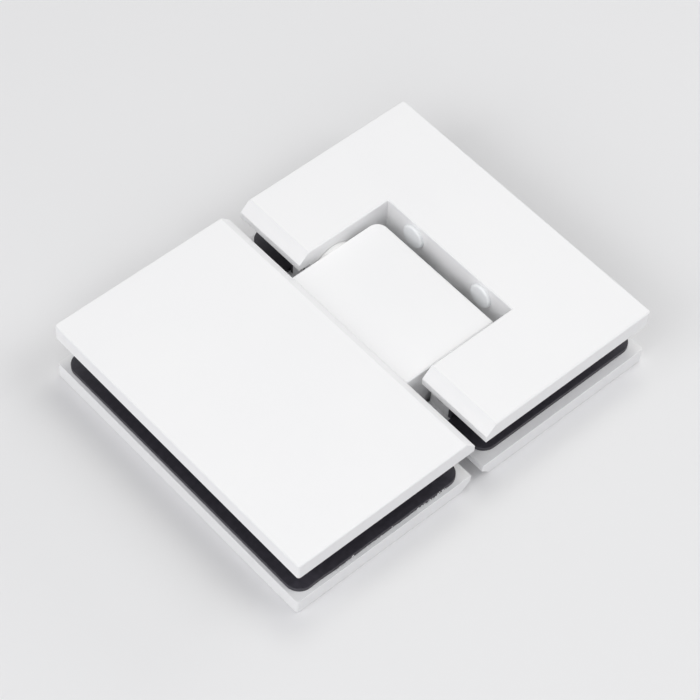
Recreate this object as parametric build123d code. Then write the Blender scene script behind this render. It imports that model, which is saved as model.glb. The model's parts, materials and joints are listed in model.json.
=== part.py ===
from build123d import *
import math
import os

# Glass-to-glass door hinge: two clamp leaves on one pin.
# Millimetres. Origin at the middle of the gap between the leaves, half way through the
# thickness. +X towards the door leaf, +Y along the pin, +Z out of the front plates.

# ---------------------------------------------------------------- driving dimensions

leaf_height = 90.0           # along the pin
leaf_width = 55.0
leaf_gap = 3.7               # between the two leaves, closed
plate_thickness = 5.0
glass_thickness = 8.0
gasket_thickness = 1.15      # one each side of the glass
edge_bevel = 3.0             # 45 degrees, outer hinge-side edge of each plate
edge_break = 0.3             # the other outer edges
plate_corner_radius = 0.8    # seen from the front

notch_width = 45.0           # in the door leaf, for the knuckle
notch_depth = 29.4
knuckle_side_gap = 1.5       # each side, between knuckle and notch
knuckle_end_gap = 4.35       # behind the knuckle
knuckle_recess = 3.0         # knuckle faces below the plates' outer faces
knuckle_corner_radius = 3.0  # upper far corner
knuckle_lower_corner_radius = 0.5  # the lower far corner was left nearly square

arm_width = 6.3              # door block, each side of the notch
web_thickness = 13.0         # door block, behind the notch
block_recess = 3.6           # block ends behind the plates' hinge-side edge
block_corner_radius = 4.0

gasket_clearance = 1.3       # gaskets round the blocks
gasket_width = 52.2          # across the leaf
gasket_length = 87.3         # along the pin
gasket_corner_radius = 4.0
fixed_gasket_hinge_inset = 1.9  # the gaskets sit where they were laid, not centred
fixed_gasket_lower_inset = 1.1
door_gasket_hinge_inset = 1.95
door_gasket_lower_inset = 2.3
spacer_wall = 1.0            # strip round a block, which keeps the glass off it
spacer_inset = 1.0           # its ends behind the block's hinge-side end

pin_diameter = 8.0
pin_setback = 11.0           # pin axis behind the door leaf's hinge-side edge
pin_end_recess = 0.4
pin_end_chamfer = 0.4
pin_flat_depth = 0.5
bush_clearance = 0.05        # radial, pin in bush
bush_wall = 0.95
bush_length = 8.0            # inside the knuckle
bush_flange_diameter = 13.0
flange_clearance = 0.1       # between bush flange and door block

plunger_diameter = 7.0
plunger_length = 4.0
plunger_clearance = 0.05     # radial, plunger in its bore
plunger_pin_clearance = 0.1  # plunger to the pin's round part
plunger_edge_break = 0.3
plunger_offset = 7.5         # from the middle of the knuckle, along the pin
spring_length = 5.1          # as fitted
spring_seat_depth = 2.0      # cup in the plunger's back
spring_clearance = 0.15      # radial, spring in the plunger's cup
plunger_cup_wall = 0.6
spring_wire = 0.8
spring_turns = 3.5
spring_chords = 12           # in one turn
plug_diameter = 8.0
plug_end_recess = 0.25
plug_socket = 4.0            # across flats
plug_socket_depth = 1.5

clamp_screw_diameter = 6.0
clamp_head_diameter = 11.5
clamp_screw_length = 12.0
clamp_screw_inset = 8.8      # from the block's side faces
clamp_socket = 4.0
clamp_socket_depth = 2.2
clamp_head_recess = 0.2
clamp_web_offset = 7.0       # screw axis behind the notch's far wall

block_screw_diameter = 5.0
block_head_diameter = 8.5
block_head_height = 3.5
block_screw_length = 9.5     # under the head
block_screw_inset = 6.8      # from the block's side faces
block_screw_setback = 16.0   # from the fixed leaf's hinge-side edge
block_screw_clearance = 0.25
block_socket = 3.0
block_socket_depth = 1.8
block_head_recess = 0.2

set_screw_diameter = 4.0
set_screw_recess = 1.0
set_screw_socket = 2.0
set_screw_socket_depth = 1.4

buffer_diameter = 6.8
buffer_proud = 1.0
buffer_spacing = 24.6        # along the pin
buffer_height = 5.5          # above the middle of the thickness
buffer_depth = 4.0           # pressed into the wall
buffer_edge_break = 0.3

tap_runout = 1.0             # threaded hole beyond the screw's tip

# ---------------------------------------------------------------- derived places

clamp_gap = glass_thickness + 2 * gasket_thickness
inner_face = clamp_gap / 2
outer_face = inner_face + plate_thickness
hinge_edge = leaf_gap / 2
leaf_end = hinge_edge + leaf_width
notch_wall = hinge_edge + notch_depth

block_half_width = notch_width / 2 + arm_width
block_start = hinge_edge + block_recess
block_end = notch_wall + web_thickness

knuckle_half_width = notch_width / 2 - knuckle_side_gap
knuckle_end = notch_wall - knuckle_end_gap
knuckle_face = outer_face - knuckle_recess

pin_x = hinge_edge + pin_setback
pin_radius = pin_diameter / 2
arm_middle = (notch_width + arm_width) / 2
bush_inner_radius = pin_radius + bush_clearance
bush_outer_radius = bush_inner_radius + bush_wall

plunger_bore_radius = plunger_diameter / 2 + plunger_clearance
plunger_start = pin_x + pin_radius + plunger_pin_clearance
spring_start = plunger_start + plunger_length - spring_seat_depth
spring_end = spring_start + spring_length
plug_end = knuckle_end - plug_end_recess

clamp_x = notch_wall + clamp_web_offset
clamp_y = block_half_width - clamp_screw_inset
block_screw_x = -(hinge_edge + block_screw_setback)
block_screw_y = block_half_width - block_screw_inset

LOW = (Align.CENTER, Align.CENTER, Align.MIN)

os.makedirs("parts", exist_ok=True)


# ---------------------------------------------------------------- shapes used more than once

def block(x_low, x_high, y_low, y_high, z_low, z_high):
    """A rectangular block between two corners."""
    size = (x_high - x_low, y_high - y_low, z_high - z_low)
    middle = ((x_low + x_high) / 2, (y_low + y_high) / 2, (z_low + z_high) / 2)
    return Pos(*middle) * Box(*size)


def rod_x(radius, x_low, x_high, y, z=0.0):
    """A round bar along X."""
    return Pos(x_low, y, z) * Rot(0, 90, 0) * Cylinder(radius, x_high - x_low, align=LOW)


def rod_y(radius, y_low, y_high, x, z=0.0):
    """A round bar along Y."""
    return Pos(x, y_low, z) * Rot(-90, 0, 0) * Cylinder(radius, y_high - y_low, align=LOW)


def hex_bar(across_flats, length):
    """A hexagonal bar standing on z = 0."""
    return extrude(RegularPolygon(across_flats / math.sqrt(3), 6), length)


def upright_edges(solid, x, tolerance=0.01):
    """The vertical edges of a solid that stand at one x, from lower to upper."""
    upright = solid.edges().filter_by(Axis.Z)
    return upright.filter_by(lambda e: abs(e.center().X - x) < tolerance).sort_by(Axis.Y)


def of_leaf(side, solid):
    """A shape made for the door leaf, or its mirror image for the fixed leaf."""
    return solid if side > 0 else mirror(solid, Plane.YZ)


def notch():
    """The space cut through the door leaf for the knuckle, open on the hinge side."""
    return block(0, notch_wall, -notch_width / 2, notch_width / 2, -2 * outer_face, 2 * outer_face)


def cover_plate(side, face, notched=False):
    """One clamp plate. side is -1 for the fixed leaf and 1 for the door leaf, face 1 for the front."""
    near = side * hinge_edge
    far = side * leaf_end
    inner = face * inner_face
    outer = face * outer_face
    section = Polyline(
        (near, inner),
        (far, inner),
        (far, outer),
        (near + side * edge_bevel, outer),
        (near, outer - face * edge_bevel),
        close=True,
    )
    plate = extrude(Plane.XZ * make_face(section), leaf_height / 2, both=True)
    plate = fillet(upright_edges(plate, far), plate_corner_radius)
    if notched:
        plate -= notch()
    outer_edges = plate.faces().filter_by(lambda f: abs(f.center().Z - outer) < 0.01).edges()
    bevel_line = near + side * edge_bevel
    kept = [e for e in outer_edges if abs(e.center().X - bevel_line) > 0.01]
    return chamfer(kept, edge_break)


def clamp_block(side):
    """The block that a leaf's two plates clamp."""
    core = block(block_start, block_end, -block_half_width, block_half_width, -inner_face, inner_face)
    return of_leaf(side, fillet(upright_edges(core, block_end), block_corner_radius))


def gasket(side, hinge_inset, lower_inset, z_low):
    """One rubber sheet of a leaf, cut out round that leaf's block."""
    near = hinge_edge + hinge_inset
    low = -leaf_height / 2 + lower_inset
    z_high = z_low + gasket_thickness
    sheet = block(near, near + gasket_width, low, low + gasket_length, z_low, z_high)
    sheet = fillet(sheet.edges().filter_by(Axis.Z), gasket_corner_radius)
    half = block_half_width + gasket_clearance
    sheet -= block(0, block_end + gasket_clearance, -half, half, z_low, z_high)
    return of_leaf(side, sheet)


def glass_spacer(side):
    """A rubber strip round three sides of a leaf's block, as high as the glass is thick."""
    far = block_end + spacer_wall
    half = block_half_width + spacer_wall
    strip = block(block_start + spacer_inset, far, -half, half, -glass_thickness / 2, glass_thickness / 2)
    strip = fillet(upright_edges(strip, far), block_corner_radius + spacer_wall)
    return of_leaf(side, strip - clamp_block(1))


def clamp_screw():
    """A countersunk socket screw: head face at z = 0, shank up +Z."""
    head = clamp_head_diameter / 2
    shank = clamp_screw_diameter / 2
    section = Polyline(
        (0, 0),
        (head, 0),
        (shank, head - shank),
        (shank, clamp_screw_length),
        (0, clamp_screw_length),
        close=True,
    )
    screw = revolve(Plane.XZ * make_face(section), Axis.Z)
    return screw - hex_bar(clamp_socket, clamp_socket_depth)


def clamp_screw_hole():
    """What a clamp screw fills, with the recess above its head and a threaded run beyond its tip."""
    head = clamp_head_diameter / 2
    shank = clamp_screw_diameter / 2
    cone = Cone(head, shank, head - shank, align=LOW)
    recess = Pos(0, 0, -clamp_head_recess) * Cylinder(head, clamp_head_recess, align=LOW)
    return cone + recess + Cylinder(shank, clamp_screw_length + tap_runout, align=LOW)


def clamp_screws(side):
    """The places of one leaf's two clamp screws, head faces towards -Z."""
    head_z = -outer_face + clamp_head_recess
    return [Pos(side * clamp_x, y, head_z) for y in (clamp_y, -clamp_y)]


# ---------------------------------------------------------------- fixed leaf

def block_screw():
    """A low-head socket screw: head face at z = 0, shank up +Z."""
    head = Cylinder(block_head_diameter / 2, block_head_height, align=LOW)
    shank = Cylinder(block_screw_diameter / 2, block_head_height + block_screw_length, align=LOW)
    return head + shank - hex_bar(block_socket, block_socket_depth)


def block_screws():
    """The places of the two screws that hold the knuckle block to the front plate."""
    head_z = -inner_face + block_head_recess
    return [Pos(block_screw_x, y, head_z) for y in (block_screw_y, -block_screw_y)]


def fixed_front_plate():
    plate = cover_plate(-1, 1)
    thread_end = block_head_height + block_screw_length
    for place in block_screws():
        plate -= place * Cylinder(block_screw_diameter / 2, thread_end, align=LOW)
    return plate


def fixed_back_plate():
    plate = cover_plate(-1, -1)
    for place in clamp_screws(-1):
        plate -= place * clamp_screw_hole()
    return plate


def knuckle_block():
    """The knuckle that fills the notch, and the tail that the fixed plates clamp."""
    neck = block(
        -block_start,
        -hinge_edge,
        -knuckle_half_width,
        knuckle_half_width,
        -inner_face,
        inner_face,
    )
    knuckle = block(
        -hinge_edge,
        knuckle_end,
        -knuckle_half_width,
        knuckle_half_width,
        -knuckle_face,
        knuckle_face,
    )
    knuckle = fillet(upright_edges(knuckle, knuckle_end)[-1], knuckle_corner_radius)
    knuckle = fillet(upright_edges(knuckle, knuckle_end)[0], knuckle_lower_corner_radius)
    faces = knuckle.faces().filter_by(Axis.Z).edges()
    knuckle = chamfer([e for e in faces if e.center().X > -hinge_edge + 0.01], edge_break)
    body = clamp_block(-1) + neck + knuckle
    body -= rod_y(bush_outer_radius, -knuckle_half_width, knuckle_half_width, pin_x)
    for y in (plunger_offset, -plunger_offset):
        body -= rod_x(plunger_bore_radius, pin_x, spring_end, y)
        body -= rod_x(plug_diameter / 2, spring_end, knuckle_end, y)
    for place in clamp_screws(-1):
        body -= place * clamp_screw_hole()
    counterbore = Pos(0, 0, -block_head_recess) * Cylinder(
        block_head_diameter / 2 + block_screw_clearance,
        block_head_recess + block_head_height,
        align=LOW,
    )
    for place in block_screws():
        body -= place * counterbore
        body -= place * Cylinder(
            block_screw_diameter / 2 + block_screw_clearance,
            block_head_height + block_screw_length,
            align=LOW,
        )
    return body


def pin_bush(end):
    """A flanged bush pressed into one end of the knuckle's bore."""
    sleeve = Cylinder(bush_outer_radius, bush_length, align=LOW)
    flange_thickness = knuckle_side_gap - flange_clearance
    flange = Pos(0, 0, bush_length) * Cylinder(bush_flange_diameter / 2, flange_thickness, align=LOW)
    bush = sleeve + flange
    bush -= Cylinder(bush_inner_radius, bush_length + flange_thickness, align=LOW)
    return Pos(pin_x, end * (knuckle_half_width - bush_length), 0) * Rot(-90 * end, 0, 0) * bush


def detent_spring(y):
    """A coil spring along X, its ends ground flat. Chords and a six-sided wire keep it light."""
    coil_radius = plunger_diameter / 2 - plunger_cup_wall - spring_clearance - spring_wire / 2
    pitch = spring_length / spring_turns
    path = Helix(pitch, spring_length + pitch / 2, coil_radius, center=(0, 0, -pitch / 4))
    chords = round((spring_turns + 0.5) * spring_chords)
    wire = Polyline(*[path @ (i / chords) for i in range(chords + 1)])
    section = Plane(wire @ 0, z_dir=wire % 0) * RegularPolygon(spring_wire / 2, 6)
    coil = sweep(section, wire, transition=Transition.RIGHT)
    coil &= Cylinder(plunger_diameter, spring_length, align=LOW)
    return Pos(spring_start, y, 0) * Rot(0, 90, 0) * coil


def spring_plug(y):
    """A socket set screw that closes the spring's bore and sets its preload."""
    plug = Cylinder(plug_diameter / 2, plug_end - spring_end, align=LOW)
    plug -= Pos(0, 0, plug_end - spring_end - plug_socket_depth) * hex_bar(plug_socket, plug_socket_depth)
    return Pos(spring_end, y, 0) * Rot(0, 90, 0) * plug


# ---------------------------------------------------------------- door leaf

def buffer_places():
    return [(notch_wall, y, buffer_height) for y in (buffer_spacing / 2, -buffer_spacing / 2)]


def door_front_body():
    """The notched front plate and the U-shaped block under it, cast as one piece."""
    body = cover_plate(1, 1, notched=True) + (clamp_block(1) - notch())
    body -= rod_y(pin_radius, -block_half_width, block_half_width, pin_x)
    for y in (arm_middle, -arm_middle):
        body -= rod_x(set_screw_diameter / 2, block_start, pin_x, y)
    for place in clamp_screws(1):
        body -= place * clamp_screw_hole()
    for x, y, z in buffer_places():
        body -= rod_x(buffer_diameter / 2, x, x + buffer_depth, y, z)
    return body


def door_back_plate():
    plate = cover_plate(1, -1, notched=True)
    for place in clamp_screws(1):
        plate -= place * clamp_screw_hole()
    return plate


def pivot_pin():
    """The pin: fixed in the door block, turning in the bushes, flats for the plungers and screws."""
    half_length = block_half_width - pin_end_recess
    pin = Cylinder(pin_radius, 2 * half_length)
    pin = chamfer(pin.edges().filter_by(GeomType.CIRCLE), pin_end_chamfer)
    flat = pin_radius - pin_flat_depth
    half_flat = plunger_diameter / 2 + plunger_clearance + pin_end_chamfer
    for y in (plunger_offset, -plunger_offset):
        for turn in (0, 90, -90):
            slab = block(flat, pin_diameter, -pin_diameter, pin_diameter, -half_flat, half_flat)
            pin -= Rot(0, 0, turn) * Pos(0, 0, y) * slab
    for y in (arm_middle, -arm_middle):
        seat = set_screw_diameter / 2
        pin -= Pos(0, 0, y) * block(-pin_diameter, -flat, -pin_diameter, pin_diameter, -seat, seat)
    return Pos(pin_x, 0, 0) * Rot(-90, 0, 0) * pin


def pin_set_screw(y):
    """A socket set screw from the door block's end face onto the pin's flat."""
    start = block_start + set_screw_recess
    tip = pin_x - pin_radius + pin_flat_depth
    screw = Cylinder(set_screw_diameter / 2, tip - start, align=LOW)
    screw -= hex_bar(set_screw_socket, set_screw_socket_depth)
    return Pos(start, y, 0) * Rot(0, 90, 0) * screw


def notch_buffer(x, y, z):
    """A round plug pressed into the notch's far wall, standing a little proud of it."""
    plug = Pos(0, 0, -buffer_proud) * Cylinder(buffer_diameter / 2, buffer_proud + buffer_depth, align=LOW)
    plug = chamfer(plug.edges().filter_by(GeomType.CIRCLE).sort_by(Axis.Z)[0], buffer_edge_break)
    return Pos(x, y, z) * Rot(0, 90, 0) * plug


# ---------------------------------------------------------------- detent plungers

def detent_plunger(y):
    """A cup-backed plunger: its face towards the pin, its spring in the cup."""
    plunger = Cylinder(plunger_diameter / 2, plunger_length, align=LOW)
    plunger = chamfer(plunger.edges().filter_by(GeomType.CIRCLE).sort_by(Axis.Z)[0], plunger_edge_break)
    cup = Cylinder(plunger_diameter / 2 - plunger_cup_wall, spring_seat_depth, align=LOW)
    plunger -= Pos(0, 0, plunger_length - spring_seat_depth) * cup
    return Pos(plunger_start, y, 0) * Rot(0, 90, 0) * plunger


# ---------------------------------------------------------------- the nodes

nodes = {
    "fixed_front_plate": fixed_front_plate(),
    "fixed_back_plate": fixed_back_plate(),
    "knuckle_block": knuckle_block(),
    "door_front_body": door_front_body(),
    "door_back_plate": door_back_plate(),
    "pivot_pin": pivot_pin(),
}

for leaf, side, hinge_inset, lower_inset in (
    ("fixed", -1, fixed_gasket_hinge_inset, fixed_gasket_lower_inset),
    ("door", 1, door_gasket_hinge_inset, door_gasket_lower_inset),
):
    nodes[f"{leaf}_front_gasket"] = gasket(side, hinge_inset, lower_inset, inner_face - gasket_thickness)
    nodes[f"{leaf}_glass_spacer"] = glass_spacer(side)
    nodes[f"{leaf}_back_gasket"] = gasket(side, hinge_inset, lower_inset, -inner_face)

for end, sign in (("upper", 1), ("lower", -1)):
    which = 0 if sign > 0 else 1
    nodes[f"fixed_clamp_screw_{end}"] = clamp_screws(-1)[which] * clamp_screw()
    nodes[f"door_clamp_screw_{end}"] = clamp_screws(1)[which] * clamp_screw()
    nodes[f"block_screw_{end}"] = block_screws()[which] * block_screw()
    nodes[f"pin_bush_{end}"] = pin_bush(sign)
    nodes[f"pin_set_screw_{end}"] = pin_set_screw(sign * arm_middle)
    nodes[f"notch_buffer_{end}"] = notch_buffer(*buffer_places()[which])
    nodes[f"detent_plunger_{end}"] = detent_plunger(sign * plunger_offset)
    nodes[f"detent_spring_{end}"] = detent_spring(sign * plunger_offset)
    nodes[f"spring_plug_{end}"] = spring_plug(sign * plunger_offset)

for name, solid in nodes.items():
    export_step(solid, f"parts/{name}.step")
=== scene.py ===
import json
from math import copysign, cos, pi, radians, sin, sqrt

import bmesh
import bpy
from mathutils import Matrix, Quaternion, Vector, noise


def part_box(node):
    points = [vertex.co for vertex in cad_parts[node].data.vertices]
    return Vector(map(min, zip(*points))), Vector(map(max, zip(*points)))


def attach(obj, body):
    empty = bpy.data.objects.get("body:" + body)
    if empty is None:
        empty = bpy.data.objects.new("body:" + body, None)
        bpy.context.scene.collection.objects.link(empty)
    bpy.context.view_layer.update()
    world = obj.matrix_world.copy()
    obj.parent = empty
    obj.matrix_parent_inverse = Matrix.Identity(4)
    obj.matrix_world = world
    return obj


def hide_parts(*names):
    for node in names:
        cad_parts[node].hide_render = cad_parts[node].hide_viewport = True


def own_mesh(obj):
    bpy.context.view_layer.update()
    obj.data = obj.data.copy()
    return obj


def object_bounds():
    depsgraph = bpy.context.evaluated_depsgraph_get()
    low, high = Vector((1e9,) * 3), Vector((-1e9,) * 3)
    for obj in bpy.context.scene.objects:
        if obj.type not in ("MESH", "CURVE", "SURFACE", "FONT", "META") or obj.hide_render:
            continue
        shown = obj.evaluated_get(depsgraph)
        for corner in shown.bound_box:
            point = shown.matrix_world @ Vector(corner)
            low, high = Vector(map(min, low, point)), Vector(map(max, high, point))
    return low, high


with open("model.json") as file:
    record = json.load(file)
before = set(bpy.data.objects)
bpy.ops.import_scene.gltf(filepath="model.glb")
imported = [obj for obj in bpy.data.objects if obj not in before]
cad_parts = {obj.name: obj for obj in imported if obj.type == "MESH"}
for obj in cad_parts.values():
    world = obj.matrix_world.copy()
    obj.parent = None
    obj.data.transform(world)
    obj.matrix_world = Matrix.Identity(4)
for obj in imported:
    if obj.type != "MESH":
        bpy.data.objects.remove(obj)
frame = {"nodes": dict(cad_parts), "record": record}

# A white glass door hinge: two clamp leaves on one pin, lying on its back plates.
# Metres. The frame is the hinge's own: +X towards the door leaf, +Y along the pin, +Z up.

MM = 0.001
MICRON = 0.000001

cad_low, cad_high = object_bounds()
leaf_of = {
    node: body
    for body, nodes in frame["record"]["behaviour"]["bodies"].items()
    for node in nodes
}
slot_of = {part["node"]: part["material_slot"] for part in frame["record"]["subparts"]}


# ---------------------------------------------------------------- what the finishes are made of

NOISE_LOW = 0.3                 # a noise seldom goes below this,
NOISE_HIGH = 0.7                # or above this


def new_material(name, roughness, metallic=0.0, specular=0.5):
    """A Principled material with plain values. Returns it, its tree, its shader and places on it."""
    material = bpy.data.materials.new(name)
    material.use_nodes = True
    tree = material.node_tree
    shader = tree.nodes["Principled BSDF"]
    shader.inputs["Roughness"].default_value = roughness
    shader.inputs["Metallic"].default_value = metallic
    shader.inputs["Specular IOR Level"].default_value = specular
    place = tree.nodes.new("ShaderNodeTexCoord").outputs["Object"]
    return material, tree, shader, place


def stretched(tree, place, scale):
    """The place with each axis multiplied, so that a pattern runs longer along one of them."""
    mapping = tree.nodes.new("ShaderNodeMapping")
    mapping.inputs["Scale"].default_value = scale
    tree.links.new(place, mapping.inputs["Vector"])
    return mapping.outputs["Vector"]


def grain(tree, place, size, detail=2.0):
    """Noise from 0 to 1 whose spots are about size across."""
    texture = tree.nodes.new("ShaderNodeTexNoise")
    texture.inputs["Scale"].default_value = 1 / size
    texture.inputs["Detail"].default_value = detail
    tree.links.new(place, texture.inputs["Vector"])
    return texture.outputs["Fac"]


def dots(tree, place, spacing, radius):
    """1 inside small scattered dots, 0 elsewhere."""
    cells = tree.nodes.new("ShaderNodeTexVoronoi")
    cells.inputs["Scale"].default_value = 1 / spacing
    tree.links.new(place, cells.inputs["Vector"])
    inside = tree.nodes.new("ShaderNodeMath")
    inside.operation = "LESS_THAN"
    inside.inputs[1].default_value = radius / spacing
    tree.links.new(cells.outputs["Distance"], inside.inputs[0])
    return inside.outputs["Value"]


def between(tree, share, low, high):
    """A number that goes from low to high as a noise goes over its usual range."""
    spread = tree.nodes.new("ShaderNodeMapRange")
    spread.inputs["From Min"].default_value = NOISE_LOW
    spread.inputs["From Max"].default_value = NOISE_HIGH
    spread.inputs["To Min"].default_value = low
    spread.inputs["To Max"].default_value = high
    tree.links.new(share, spread.inputs["Value"])
    return spread.outputs["Result"]


def patches(tree, place, size, detail=2.0):
    """Patches about size across that go all the way from 0 to 1."""
    return between(tree, grain(tree, place, size, detail), 0, 1)


def blended(tree, share, first, second):
    """The colour first where share is 0, second where it is 1. Either may be a socket."""
    mix = tree.nodes.new("ShaderNodeMix")
    mix.data_type = "RGBA"
    tree.links.new(share, mix.inputs["Factor"])
    for name, colour in (("A", first), ("B", second)):
        socket = next(s for s in mix.inputs if s.name == name and s.type == "RGBA")
        if isinstance(colour, bpy.types.NodeSocket):
            tree.links.new(colour, socket)
        else:
            socket.default_value = (*colour, 1)
    return next(s for s in mix.outputs if s.type == "RGBA")


def paint(tree, shader, share, first, second):
    """Colours the shader first where share is 0, second where it is 1."""
    tree.links.new(blended(tree, share, first, second), shader.inputs["Base Color"])


def vary_roughness(tree, shader, share, below, above):
    """Lets a noise take the roughness from below its plain value to above it."""
    roughness = shader.inputs["Roughness"]
    plain = roughness.default_value
    tree.links.new(between(tree, share, plain - below, plain + above), roughness)


def let_light_in(shader, weight, depth):
    """Lets a share of the light spread under the surface, about as far as depth."""
    shader.inputs["Subsurface Weight"].default_value = weight
    shader.inputs["Subsurface Radius"].default_value = (1.0, 1.0, 1.0)
    shader.inputs["Subsurface Scale"].default_value = depth


def raise_surface(tree, shader, layers):
    """Bumps the shader with layers of (height from 0 to 1, depth in metres), one on the other."""
    normal = None
    for height, depth in layers:
        bump = tree.nodes.new("ShaderNodeBump")
        bump.inputs["Strength"].default_value = 1.0
        bump.inputs["Distance"].default_value = depth
        tree.links.new(height, bump.inputs["Height"])
        if normal:
            tree.links.new(normal, bump.inputs["Normal"])
        normal = bump.outputs["Normal"]
    tree.links.new(normal, shader.inputs["Normal"])


# ---------------------------------------------------------------- finishes

def white_coat():
    """Satin white powder coat: orange peel and a powdery grain, with hardly any change of tone."""
    material, tree, shader, place = new_material("white powder coat", 0.5)
    tone = patches(tree, place, 25 * MM)
    paint(tree, shader, tone, (0.90, 0.90, 0.905), (0.912, 0.912, 0.914))
    vary_roughness(tree, shader, grain(tree, place, 3 * MM), below=0.04, above=0.04)
    peel = grain(tree, place, 0.45 * MM, detail=1.0)
    powder = grain(tree, place, 0.08 * MM)
    raise_surface(tree, shader, [(peel, 6 * MICRON), (powder, 1 * MICRON)])
    return material


def black_rubber():
    """Matt bluish-black rubber with a coarse and a fine grain, and specks of paler dust caught in it."""
    material, tree, shader, place = new_material("matt black rubber", 0.5)
    tone = patches(tree, place, 1.2 * MM, detail=4.0)
    clean = blended(tree, tone, (0.028, 0.026, 0.034), (0.044, 0.041, 0.053))
    dusty = dots(tree, place, 0.9 * MM, 0.05 * MM)
    paint(tree, shader, dusty, clean, (0.13, 0.13, 0.14))
    coarse = grain(tree, place, 0.6 * MM, detail=3.0)
    fine = grain(tree, place, 0.12 * MM)
    raise_surface(tree, shader, [(coarse, 25 * MICRON), (fine, 12 * MICRON)])
    return material


def machined_steel():
    """The screws: stainless steel with fine machining marks and faint cloudiness."""
    material, tree, shader, place = new_material("turned screw steel", 0.3, metallic=1.0)
    bright = (0.62, 0.62, 0.62)
    dull = tuple(0.82 * part for part in bright)
    paint(tree, shader, patches(tree, place, 2 * MM, detail=3.0), dull, bright)
    marks = grain(tree, stretched(tree, place, (1, 12, 12)), 0.9 * MM, detail=3.0)
    vary_roughness(tree, shader, marks, below=0.07, above=0.1)
    raise_surface(tree, shader, [(marks, 3 * MICRON)])
    return material


def ground_steel():
    """The pin: ground round, with marks that run round it."""
    material, tree, shader, place = new_material("ground pin steel", 0.22, metallic=1.0)
    cloud = patches(tree, place, 4 * MM, detail=3.0)
    paint(tree, shader, cloud, (0.56, 0.56, 0.57), (0.68, 0.68, 0.68))
    marks = grain(tree, stretched(tree, place, (1, 40, 1)), 4 * MM, detail=4.0)
    vary_roughness(tree, shader, marks, below=0.05, above=0.1)
    raise_surface(tree, shader, [(marks, 1.5 * MICRON)])
    return material


def spring_steel():
    """Oiled, blued spring wire."""
    material, tree, shader, place = new_material("spring wire", 0.34, metallic=1.0)
    oil = patches(tree, place, 1.5 * MM, detail=4.0)
    paint(tree, shader, oil, (0.22, 0.23, 0.25), (0.46, 0.45, 0.43))
    vary_roughness(tree, shader, oil, below=0.08, above=0.08)
    return material


def nylon(name, pale, deep):
    """Moulded nylon, slightly see-through at its edges."""
    material, tree, shader, place = new_material(name, 0.45)
    let_light_in(shader, 0.25, 0.6 * MM)
    paint(tree, shader, patches(tree, place, 2.5 * MM, detail=3.0), deep, pale)
    raise_surface(tree, shader, [(grain(tree, place, 0.5 * MM), 4 * MICRON)])
    return material


def turned_brass():
    """The plungers: turned brass, a little tarnished, with marks that run round them."""
    material, tree, shader, place = new_material("turned brass", 0.3, metallic=1.0)
    tarnish = patches(tree, place, 1.8 * MM, detail=4.0)
    paint(tree, shader, tarnish, (0.55, 0.38, 0.16), (0.80, 0.62, 0.30))
    marks = grain(tree, stretched(tree, place, (14, 1, 1)), 1.5 * MM, detail=3.0)
    vary_roughness(tree, shader, marks, below=0.06, above=0.1)
    raise_surface(tree, shader, [(marks, 2 * MICRON)])
    return material


def dried_glue():
    """Pale dried adhesive, glossy on top."""
    material, tree, shader, place = new_material("dried glue", 0.25)
    let_light_in(shader, 0.4, 0.3 * MM)
    paint(tree, shader, patches(tree, place, 0.5 * MM), (0.88, 0.88, 0.90), (0.97, 0.97, 0.98))
    return material


finish_of_slot = {
    "white_coat": white_coat(),
    "black_rubber": black_rubber(),
    "screw_steel": machined_steel(),
    "pin_steel": ground_steel(),
    "spring_steel": spring_steel(),
    "bush_nylon": nylon("pale nylon", (0.88, 0.88, 0.875), (0.86, 0.86, 0.85)),
    "buffer_nylon": nylon("white nylon", (0.93, 0.95, 0.96), (0.91, 0.93, 0.94)),
    "plunger_brass": turned_brass(),
}


# ---------------------------------------------------------------- pieces that stand for nodes

SHARP = radians(30)             # faces that meet at more than this meet at an edge
FLAT = radians(0.5)             # faces that meet at less than this are one flat face
SAME = 1 * MICRON               # corners or measures nearer than this are the same


def box_of(node):
    """A node's low corner, high corner and middle."""
    low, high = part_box(node)
    return low, high, (low + high) / 2


def finished_mesh(name, form):
    """A mesh from a form, which is then let go."""
    mesh = bpy.data.meshes.new(name)
    form.to_mesh(mesh)
    form.free()
    return mesh


def placed(name, mesh, slot, body, *nodes):
    """An object for a mesh: finished, named, riding with its leaf and standing for its nodes."""
    piece = bpy.data.objects.new(name, mesh)
    bpy.context.scene.collection.objects.link(piece)
    if not mesh.materials:
        mesh.materials.append(finish_of_slot[slot])
    mesh.shade_smooth()
    mesh.set_sharp_from_angle(angle=SHARP)
    if nodes:
        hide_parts(*nodes)
    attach(piece, body)
    return piece


def joined_form(node):
    """A node's solid as one joined form with whole flat faces."""
    form = bmesh.new()
    form.from_mesh(frame["nodes"][node].data)
    bmesh.ops.remove_doubles(form, verts=form.verts, dist=SAME)
    bmesh.ops.dissolve_limit(
        form,
        angle_limit=FLAT,
        verts=form.verts,
        edges=form.edges,
        use_dissolve_boundaries=False,
    )
    return form


def dressed(node, form, radius, segments=2):
    """Makes a form the piece that stands for a node: edges rounded, flat faces shaded flat."""
    name = node + "_finished"
    piece = placed(name, finished_mesh(name, form), slot_of[node], leaf_of[node], node)
    bevel = piece.modifiers.new("rounded edges", "BEVEL")
    bevel.width = radius
    bevel.segments = segments
    bevel.limit_method = "ANGLE"
    bevel.angle_limit = SHARP
    facing = piece.modifiers.new("flat faces stay flat", "WEIGHTED_NORMAL")
    facing.weight = 100
    facing.keep_sharp = True


def finished(node, radius, segments=2):
    """A node's own solid with its edges rounded."""
    dressed(node, joined_form(node), radius, segments)


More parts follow.
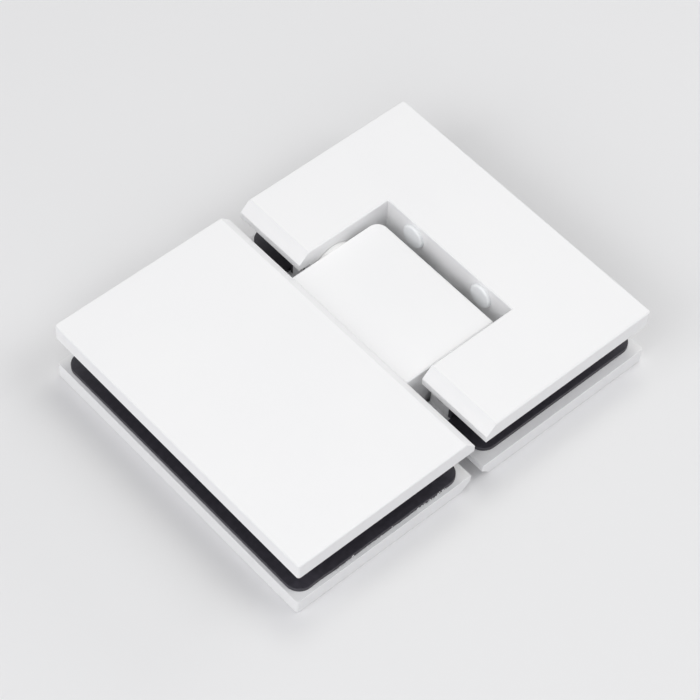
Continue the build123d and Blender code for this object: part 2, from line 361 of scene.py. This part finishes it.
def hand_trimmed_gasket(node, radius, wander, fray):
    """A gasket whose lower edge was trimmed by hand: its cut face wanders and frays a little."""
    shortest_rail = 10 * MM     # leaves out the short edges across the sheet's thickness
    step = 0.35 * MM
    wander_length = 6 * MM
    fray_length = 0.8 * MM
    form = joined_form(node)
    low_y = min(vertex.co.y for vertex in form.verts)
    rails = [
        edge
        for edge in form.edges
        if all(abs(vertex.co.y - low_y) < SAME for vertex in edge.verts)
        and edge.calc_length() > shortest_rail
    ]
    cuts = round(rails[0].calc_length() / step)
    bmesh.ops.subdivide_edges(form, edges=rails, cuts=cuts, use_grid_fill=True)
    for vertex in form.verts:
        if abs(vertex.co.y - low_y) < SAME:
            slow = noise.noise(vertex.co / wander_length)
            quick = noise.noise(vertex.co / fray_length)
            vertex.co.y += wander * slow + fray * quick
    dressed(node, form, radius)


def let_out_spacer(node, radius, towards_hinge, towards_plates):
    """A glass spacer let out to its block's end, and through both gaskets to the plates."""
    form = joined_form(node)
    end = min((vertex.co.x for vertex in form.verts), key=abs)
    for vertex in form.verts:
        if abs(vertex.co.x - end) < SAME:
            vertex.co.x -= copysign(towards_hinge, end)
        vertex.co.z += copysign(towards_plates, vertex.co.z)
    dressed(node, form, radius)


# ---------------------------------------------------------------- round forms

def ring_of_corners(form, radius, height, sides):
    """New corners in a level ring about the Z axis."""
    return [
        form.verts.new((radius * cos(turn), radius * sin(turn), height))
        for turn in (2 * pi * i / sides for i in range(sides))
    ]


def skin(form, rings):
    """Faces between each ring of corners and the next."""
    for near, far in zip(rings, rings[1:]):
        for i in range(len(near)):
            after = (i + 1) % len(near)
            form.faces.new((near[i], near[after], far[after], far[i]))


def fan(form, ring, height):
    """Faces that close a ring of corners at a point on the Z axis."""
    point = form.verts.new((0, 0, height))
    for i, corner in enumerate(ring):
        form.faces.new((corner, ring[(i + 1) % len(ring)], point))


# ---------------------------------------------------------------- trees that repeat a form

def node_tree_with(name, inputs):
    """A Geometry Nodes tree that takes a mesh and the named inputs, and gives a mesh."""
    tree = bpy.data.node_groups.new(name, "GeometryNodeTree")
    tree.interface.new_socket("Mesh", in_out="INPUT", socket_type="NodeSocketGeometry")
    for label, kind in inputs:
        tree.interface.new_socket(label, in_out="INPUT", socket_type="NodeSocket" + kind)
    tree.interface.new_socket("Mesh", in_out="OUTPUT", socket_type="NodeSocketGeometry")
    given = tree.nodes.new("NodeGroupInput").outputs
    result = tree.nodes.new("NodeGroupOutput").inputs["Mesh"]
    return tree, given, result


def add(tree, kind, settings=None, **sockets):
    """A node with its settings, and each named socket linked or set."""
    node = tree.nodes.new(kind)
    for setting, value in (settings or {}).items():
        setattr(node, setting, value)
    for label, value in sockets.items():
        socket = node.inputs[label.replace("_", " ")]
        if isinstance(value, bpy.types.NodeSocket):
            tree.links.new(value, socket)
        else:
            socket.default_value = value
    return node


def points_in_line(tree, given):
    """The given Count of points, from First Place to Last Place."""
    line = add(
        tree,
        "GeometryNodeMeshLine",
        {"mode": "END_POINTS"},     # in this mode Offset is where the line ends
        Count=given["Count"],
        Start_Location=given["First Place"],
        Offset=given["Last Place"],
    )
    return line.outputs["Mesh"]


def end_with(tree, copies, given, result):
    """Ends a tree: its copies made real, in the given Finish."""
    real = add(tree, "GeometryNodeRealizeInstances", Geometry=copies.outputs["Instances"])
    finish = add(
        tree,
        "GeometryNodeSetMaterial",
        Geometry=real.outputs["Geometry"],
        Material=given["Finish"],
    )
    tree.links.new(finish.outputs["Geometry"], result)


def grown(name, mesh, tree, values):
    """The mesh that a tree makes from another mesh and its named values."""
    maker = bpy.data.objects.new(name, mesh)
    bpy.context.scene.collection.objects.link(maker)
    modifier = maker.modifiers.new(tree.name, "NODES")
    modifier.node_group = tree
    for item in tree.interface.items_tree:
        if item.in_out == "INPUT" and item.name in values:
            modifier[item.identifier] = values[item.name]
    view = bpy.context.evaluated_depsgraph_get()
    result = bpy.data.meshes.new_from_object(maker.evaluated_get(view), depsgraph=view)
    result.name = name
    maker.modifiers.clear()
    bpy.data.objects.remove(maker)
    return result


# ---------------------------------------------------------------- screws

ROUND = 48                      # sides of a turned blank, a multiple of its socket's six
THREAD_STEPS = 36               # points in one turn of a thread
THREAD_DEPTH = 0.9              # a thread's depth as a share of its pitch
THREAD_PLAY = 0.02 * MM         # how far a thread's crests stay inside its full radius


def turned_blank(name, outline, socket, depth, mouth=0.25 * MM):
    """A turned screw blank with a hexagon socket: head face at z = 0, shank up +Z.

    outline holds (radius, height) from the head's rim to the tip, socket is the width across
    its flats, and mouth is the width and depth of the chamfer round it.
    """
    length = outline[-1][1]
    drilled = depth + 0.15 * socket
    corner = socket / sqrt(3)
    outline = [(corner + mouth, 0)] + outline
    form = bmesh.new()
    rings = [ring_of_corners(form, radius, height, ROUND) for radius, height in outline]
    skin(form, rings)
    fan(form, rings[-1], length)

    hexagons = [ring_of_corners(form, corner, height, 6) for height in (mouth, depth)]
    top, bottom = hexagons
    skin(form, hexagons)
    fan(form, bottom, drilled)

    # The chamfer, one sixth at a time: half of its round rim fans to each corner of a flat.
    share = ROUND // 6
    middle = share // 2
    for i in range(6):
        near = top[i]
        far = top[(i + 1) % 6]
        rim = [rings[0][(share * i + j) % ROUND] for j in range(share + 1)]
        for j in range(share):
            form.faces.new((rim[j], rim[j + 1], near if j < middle else far))
        form.faces.new((rim[middle], near, far))
    bmesh.ops.recalc_face_normals(form, faces=form.faces)
    return finished_mesh(name, form)


def rounded_rim(head, size):
    """The outline of a head's rim, rounded by size."""
    return [(head - size, 0), (head - 0.3 * size, 0.3 * size), (head, size)]


def chamfered_tip(radius, length, height, width):
    """The outline of a screw's tip."""
    return [(radius, length - height), (radius - width, length)]


def screw_row_tree():
    """Threads a screw blank and repeats it along a line."""
    tree, given, result = node_tree_with("screw row", [
        ("First Place", "Vector"),
        ("Last Place", "Vector"),
        ("Direction", "Vector"),
        ("Count", "Int"),
        ("Crest Radius", "Float"),
        ("Ridge", "Float"),
        ("Thread Start", "Float"),
        ("Thread Length", "Float"),
        ("Turns", "Float"),
        ("Finish", "Material"),
    ])
    middle = add(tree, "ShaderNodeMath", {"operation": "SUBTRACT"})
    tree.links.new(given["Crest Radius"], middle.inputs[0])
    tree.links.new(given["Ridge"], middle.inputs[1])
    path = add(
        tree,
        "GeometryNodeCurveSpiral",
        Resolution=THREAD_STEPS,
        Rotations=given["Turns"],
        Start_Radius=middle.outputs["Value"],
        End_Radius=middle.outputs["Value"],
        Height=given["Thread Length"],
    )
    level = add(
        tree,
        "GeometryNodeSetCurveNormal",
        {"mode": "Z_UP"},
        Curve=path.outputs["Curve"],
    )
    # Four corners make a diamond, whose outer half is the V of the thread.
    ridge = add(tree, "GeometryNodeCurvePrimitiveCircle", Resolution=4, Radius=given["Ridge"])
    thread = add(
        tree,
        "GeometryNodeCurveToMesh",
        Curve=level.outputs["Curve"],
        Profile_Curve=ridge.outputs["Curve"],
        Fill_Caps=True,
    )
    height = add(tree, "ShaderNodeCombineXYZ", Z=given["Thread Start"])
    lifted = add(
        tree,
        "GeometryNodeTransform",
        Geometry=thread.outputs["Mesh"],
        Translation=height.outputs["Vector"],
    )
    screw = add(tree, "GeometryNodeJoinGeometry", Geometry=given["Mesh"])
    tree.links.new(lifted.outputs["Geometry"], screw.inputs["Geometry"])
    facing = add(tree, "FunctionNodeAlignRotationToVector", {"axis": "Z"}, Vector=given["Direction"])
    row = add(
        tree,
        "GeometryNodeInstanceOnPoints",
        Points=points_in_line(tree, given),
        Instance=screw.outputs["Geometry"],
        Rotation=facing.outputs["Rotation"],
    )
    end_with(tree, row, given, result)
    return tree


screw_row = screw_row_tree()


def head_face(node, direction):
    """The middle of the end that a screw points away from."""
    low, high, middle = box_of(node)
    return middle - direction * abs(direction.dot(high - low)) / 2


def screws(stem, blank, direction, crest, pitch, start, end):
    """Two equal screws that stand for stem_upper and stem_lower and point along direction.

    Their thread has crest as its outer radius and runs from start to end, from the head face.
    """
    nodes = [stem + "_upper", stem + "_lower"]
    slot = slot_of[nodes[0]]
    name = stem + "s"
    mesh = grown(name, blank, screw_row, {
        "First Place": head_face(nodes[0], direction),
        "Last Place": head_face(nodes[1], direction),
        "Direction": direction,
        "Count": len(nodes),
        "Crest Radius": crest,
        "Ridge": THREAD_DEPTH * pitch / 2,
        "Thread Start": start,
        "Thread Length": end - start,
        "Turns": (end - start) / pitch,
        "Finish": finish_of_slot[slot],
    })
    placed(name, mesh, slot, leaf_of[nodes[0]], *nodes)


def clamp_screws(leaf):
    """The countersunk screws that draw the two plates of one leaf together."""
    stem = leaf + "_clamp_screw"
    low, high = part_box(stem + "_upper")
    length = high.z - low.z
    pitch = 1.0 * MM
    crest = 3.0 * MM - THREAD_PLAY
    root = crest - THREAD_DEPTH * pitch
    seat = (high.x - low.x) / 2
    head = seat - 0.05 * MM
    neck = head - root          # the head's cone has sides at 45 degrees
    rim = 0.12 * MM
    outline = [
        *rounded_rim(head, rim),
        (head - 0.1 * rim, 2 * rim),
        (root, neck),
        *chamfered_tip(root, length, height=0.8 * MM, width=0.6 * MM),
    ]
    blank = turned_blank("clamp screw", outline, socket=4.0 * MM, depth=2.2 * MM)
    screws(
        stem,
        blank,
        direction=Vector((0, 0, 1)),
        crest=crest,
        pitch=pitch,
        start=neck + 0.9 * MM,
        end=length - 1.3 * MM,
    )


def block_screws():
    """The low-head screws that hold the knuckle block to the fixed front plate."""
    stem = "block_screw"
    low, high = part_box(stem + "_upper")
    length = high.z - low.z
    pitch = 0.8 * MM
    crest = 2.5 * MM - THREAD_PLAY
    root = crest - THREAD_DEPTH * pitch
    head = (high.x - low.x) / 2
    neck = 3.5 * MM
    shoulder = neck + 1.2 * MM
    outline = [
        *rounded_rim(head, 0.35 * MM),
        (head, neck),
        (crest, neck),
        (crest, shoulder),
        (root, shoulder + 0.4 * MM),
        *chamfered_tip(root, length, height=0.6 * MM, width=0.5 * MM),
    ]
    blank = turned_blank("block screw", outline, socket=3.0 * MM, depth=1.8 * MM)
    screws(
        stem,
        blank,
        direction=Vector((0, 0, 1)),
        crest=crest,
        pitch=pitch,
        start=shoulder + 0.7 * MM,
        end=length - 0.8 * MM,
    )


def headless_screws(stem, towards, socket, depth, pitch):
    """Screws with no head, threaded from end to end, that point along X: towards is 1 or -1."""
    low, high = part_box(stem + "_upper")
    length = high.x - low.x
    crest = (high.y - low.y) / 2 - THREAD_PLAY
    root = crest - THREAD_DEPTH * pitch
    chamfer = 0.1 * MM
    core = root + chamfer
    outline = [
        (root, 0),
        (core, chamfer),
        *chamfered_tip(core, length, height=0.35 * MM, width=0.35 * MM),
    ]
    blank = turned_blank(stem + "s", outline, socket, depth, mouth=0.15 * MM)
    screws(
        stem,
        blank,
        direction=Vector((towards, 0, 0)),
        crest=crest,
        pitch=pitch,
        start=pitch / 2,
        end=length - pitch / 2,
    )


# ---------------------------------------------------------------- springs

SPECK = 10 * MICRON             # what is smaller than this in a cut face is closed up


def wound_wire(start, coil, wire, pitch, turns):
    """Round wire wound along +X from start, with both ends closed. coil and wire are radii."""
    steps = 36                  # hoops in one turn
    sides = 12                  # sides of the wire
    form = bmesh.new()
    hoops = []
    for i in range(round(turns * steps) + 1):
        angle = 2 * pi * i / steps
        out = Vector((0, cos(angle), sin(angle)))
        centre = start + Vector((pitch * i / steps, 0, 0)) + coil * out
        along = Vector((pitch / (2 * pi * coil), -sin(angle), cos(angle))).normalized()
        across = along.cross(out)
        hoops.append([
            form.verts.new(centre + wire * (out * cos(turn) + across * sin(turn)))
            for turn in (2 * pi * j / sides for j in range(sides))
        ])
    skin(form, hoops)
    for hoop in (hoops[0], hoops[-1]):
        form.faces.new(hoop)
    bmesh.ops.recalc_face_normals(form, faces=form.faces)
    return form


def cut_flat(form, x, outward):
    """Takes off what lies beyond x and closes the cut. outward is 1 beyond a high x, -1 a low one."""
    cut = bmesh.ops.bisect_plane(
        form,
        geom=form.verts[:] + form.edges[:] + form.faces[:],
        plane_co=(x, 0, 0),
        plane_no=(outward, 0, 0),
        clear_outer=True,
    )
    cut_points = [item for item in cut["geom_cut"] if isinstance(item, bmesh.types.BMVert)]
    bmesh.ops.remove_doubles(form, verts=cut_points, dist=SPECK)
    bmesh.ops.holes_fill(form, edges=[edge for edge in form.edges if edge.is_boundary])


def coil_spring(end):
    """The coil behind a plunger, cut flat where it seats. It is built at one length, though the real
    coil shortens as the plunger moves back.
    """
    node = f"detent_spring_{end}"
    low, high, middle = box_of(node)
    length = high.x - low.x
    turns = 3.5
    run_out = 0.25              # turns at each end that the flat cuts take off
    pitch = length / turns
    wire = 0.4 * MM
    start = Vector((low.x - run_out * pitch, middle.y, middle.z))
    coil = (high.y - low.y) / 2 - wire
    form = wound_wire(start, coil, wire, pitch, turns + 2 * run_out)
    cut_flat(form, low.x, -1)
    cut_flat(form, high.x, 1)
    bmesh.ops.triangulate(form, faces=form.faces)
    bmesh.ops.dissolve_degenerate(form, dist=SPECK, edges=form.edges)
    bmesh.ops.recalc_face_normals(form, faces=form.faces)
    name = f"coil_spring_{end}"
    piece = placed(name, finished_mesh(name, form), slot_of[node], leaf_of[node], node)
    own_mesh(piece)


# ---------------------------------------------------------------- dried glue

def crumb(radius):
    """One rough crumb of glue about the origin."""
    lump_height = 0.5           # as a share of the radius
    lump_count = 1.6            # along one radius
    form = bmesh.new()
    bmesh.ops.create_icosphere(form, subdivisions=2, radius=radius)
    for vertex in form.verts:
        vertex.co *= 1 + lump_height * noise.noise(lump_count * vertex.co / radius)
    return finished_mesh("glue crumb", form)


def crumb_run_tree():
    """Scatters a crumb's copies along a line, turned and scaled at random."""
    tree, given, result = node_tree_with("crumb run", [
        ("First Place", "Vector"),
        ("Last Place", "Vector"),
        ("Count", "Int"),
        ("Scatter", "Vector"),
        ("Smallest", "Vector"),
        ("Largest", "Vector"),
        ("Seed", "Int"),
        ("Finish", "Material"),
    ])

    def random_vector(low, high, seed_step):
        seed = add(tree, "ShaderNodeMath", {"operation": "ADD"})
        tree.links.new(given["Seed"], seed.inputs[0])
        seed.inputs[1].default_value = seed_step
        chosen = add(
            tree,
            "FunctionNodeRandomValue",
            {"data_type": "FLOAT_VECTOR"},
            Min=low,
            Max=high,
            Seed=seed.outputs["Value"],
        )
        return chosen.outputs["Value"]

    strewn = add(
        tree,
        "GeometryNodeSetPosition",
        Geometry=points_in_line(tree, given),
        Offset=random_vector((0, 0, 0), given["Scatter"], 0),
    )
    full_turn = (2 * pi, 2 * pi, 2 * pi)
    copies = add(
        tree,
        "GeometryNodeInstanceOnPoints",
        Points=strewn.outputs["Geometry"],
        Instance=given["Mesh"],
        Rotation=random_vector((0, 0, 0), full_turn, 1),
        Scale=random_vector(given["Smallest"], given["Largest"], 2),
    )
    end_with(tree, copies, given, result)
    return tree


def glue_crumbs(name, tree, finish, start, end, count, seed):
    """Crumbs squeezed out under the fixed back gasket's lower edge, start to end from the hinge.

    The record has no slot for glue, so they are passed the bushes' slot name.
    """
    gasket = "fixed_back_gasket"
    low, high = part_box(gasket)
    edge = low.y + 0.1 * MM
    underside = low.z + 0.06 * MM
    mesh = grown(name, crumb(0.25 * MM), tree, {
        "First Place": Vector((high.x - start, edge, underside)),
        "Last Place": Vector((high.x - end, edge, underside)),
        "Count": count,
        "Scatter": Vector((0.6 * MM, -0.6 * MM, 0.7 * MM)),
        "Smallest": Vector((0.4, 0.4, 0.3)),
        "Largest": Vector((1, 1, 0.8)),
        "Seed": seed,
        "Finish": finish,
    })
    placed(name, mesh, "bush_nylon", leaf_of[gasket])


# ---------------------------------------------------------------- all the pieces

for node in ("fixed_front_plate", "knuckle_block", "door_front_body"):
    finished(node, 0.12 * MM)
# The recess above each screw head in the back plates is 0.2 mm deep, with an edge at both ends.
for node in ("fixed_back_plate", "door_back_plate"):
    finished(node, 0.09 * MM)

rubber_edge = 0.1 * MM
for node in ("fixed_front_gasket", "door_front_gasket", "door_back_gasket"):
    finished(node, rubber_edge)
for node in ("fixed_glass_spacer", "door_glass_spacer"):
    let_out_spacer(node, rubber_edge, towards_hinge=0.95 * MM, towards_plates=1.1 * MM)
hand_trimmed_gasket("fixed_back_gasket", rubber_edge, wander=0.15 * MM, fray=0.07 * MM)

finished("pivot_pin", 0.05 * MM)
for end in ("upper", "lower"):
    finished(f"pin_bush_{end}", 0.1 * MM)
    finished(f"detent_plunger_{end}", 0.06 * MM)
    finished(f"notch_buffer_{end}", 0.16 * MM, segments=3)
    coil_spring(end)

clamp_screws("fixed")
clamp_screws("door")
block_screws()
headless_screws("pin_set_screw", 1, socket=2.0 * MM, depth=1.4 * MM, pitch=0.7 * MM)
headless_screws("spring_plug", -1, socket=4.0 * MM, depth=1.5 * MM, pitch=1.0 * MM)

dried = dried_glue()
crumb_run = crumb_run_tree()
for where, start, end, count, seed in (
    ("near_hinge", 5.5 * MM, 15 * MM, 26, 3),
    ("middle", 22 * MM, 31 * MM, 9, 8),
    ("far", 34 * MM, 41 * MM, 14, 5),
):
    glue_crumbs(f"glue_crumbs_{where}", crumb_run, dried, start, end, count, seed)


# ---------------------------------------------------------------- floor, light and camera

def pale_floor():
    """A plain floor under the back plates that keeps the hinge's shadow."""
    bpy.ops.mesh.primitive_plane_add(size=6, location=(0, 0, cad_low.z))
    floor = bpy.context.active_object
    floor.name = "floor"
    material, tree, shader, place = new_material("pale floor", 0.7, specular=0.2)
    tone = patches(tree, place, 400 * MM)
    paint(tree, shader, tone, (0.82, 0.82, 0.825), (0.83, 0.83, 0.833))
    floor.data.materials.append(material)


def surroundings(ambient, backdrop):
    """Even light from all round, and a backdrop where the camera or a shine sees past the floor."""
    world = bpy.data.worlds.new("surroundings")
    world.use_nodes = True
    bpy.context.scene.world = world
    tree = world.node_tree
    seen = tree.nodes.new("ShaderNodeLightPath")
    share = seen.outputs["Is Camera Ray"]
    for ray in ("Is Glossy Ray", "Is Transmission Ray"):
        either = tree.nodes.new("ShaderNodeMath")
        either.operation = "MAXIMUM"
        tree.links.new(share, either.inputs[0])
        tree.links.new(seen.outputs[ray], either.inputs[1])
        share = either.outputs["Value"]
    background = tree.nodes["Background"]
    tree.links.new(blended(tree, share, ambient, backdrop), background.inputs["Color"])


def direction_of(bearing, height):
    """The way to a point at a bearing from +X towards +Y and a height above level, both in degrees."""
    turn = radians(bearing)
    rise = radians(height)
    return Vector((cos(turn) * cos(rise), sin(turn) * cos(rise), sin(rise)))


def soft_lamp(name, bearing, height, size, power, colour=(1, 1, 1), distance=1.2):
    """A square lamp that shines on the hinge from a bearing and height in degrees."""
    lamp = bpy.data.lights.new(name, "AREA")
    lamp.size = size
    lamp.energy = power
    lamp.color = colour
    holder = bpy.data.objects.new(name, lamp)
    bpy.context.scene.collection.objects.link(holder)
    direction = direction_of(bearing, height)
    holder.location = direction * distance
    holder.rotation_euler = direction.to_track_quat("Z", "Y").to_euler()


def camera(aim, bearing, height, roll, distance, lens):
    """The camera, which looks at aim from a bearing and height in degrees and is turned by roll."""
    data = bpy.data.cameras.new("camera")
    data.lens = lens
    data.sensor_width = 36
    data.clip_start = 0.01
    data.clip_end = 20
    holder = bpy.data.objects.new("camera", data)
    bpy.context.scene.collection.objects.link(holder)
    back = direction_of(bearing, height)
    holder.location = Vector(aim) + back * distance
    holder.rotation_mode = "QUATERNION"
    rolled = Quaternion((0, 0, 1), radians(roll))
    holder.rotation_quaternion = (-back).to_track_quat("-Z", "Y") @ rolled
    bpy.context.scene.camera = holder


pale_floor()
surroundings(ambient=(0.292, 0.293, 0.312), backdrop=(0.80, 0.80, 0.81))
soft_lamp("key", bearing=34, height=72, size=0.5, power=3.1, colour=(1, 0.995, 0.93))
for name, bearing, height, power in (
    ("left panel", 180, 32, 3.3),
    ("upper left panel", 180, 50, 1.9),
    ("near left panel", 225, 32, 2.0),
    ("upper right panel", 315, 50, 3.5),
    ("right panel", 0, 14, 2.6),
):
    soft_lamp(name, bearing, height, size=0.7, power=power)
camera(
    aim=(-0.002, -0.0011, 0),
    bearing=-134.31,
    height=53.24,
    roll=3.44,
    distance=0.634,
    lens=133.15,
)
bpy.context.scene.view_settings.view_transform = "Standard"
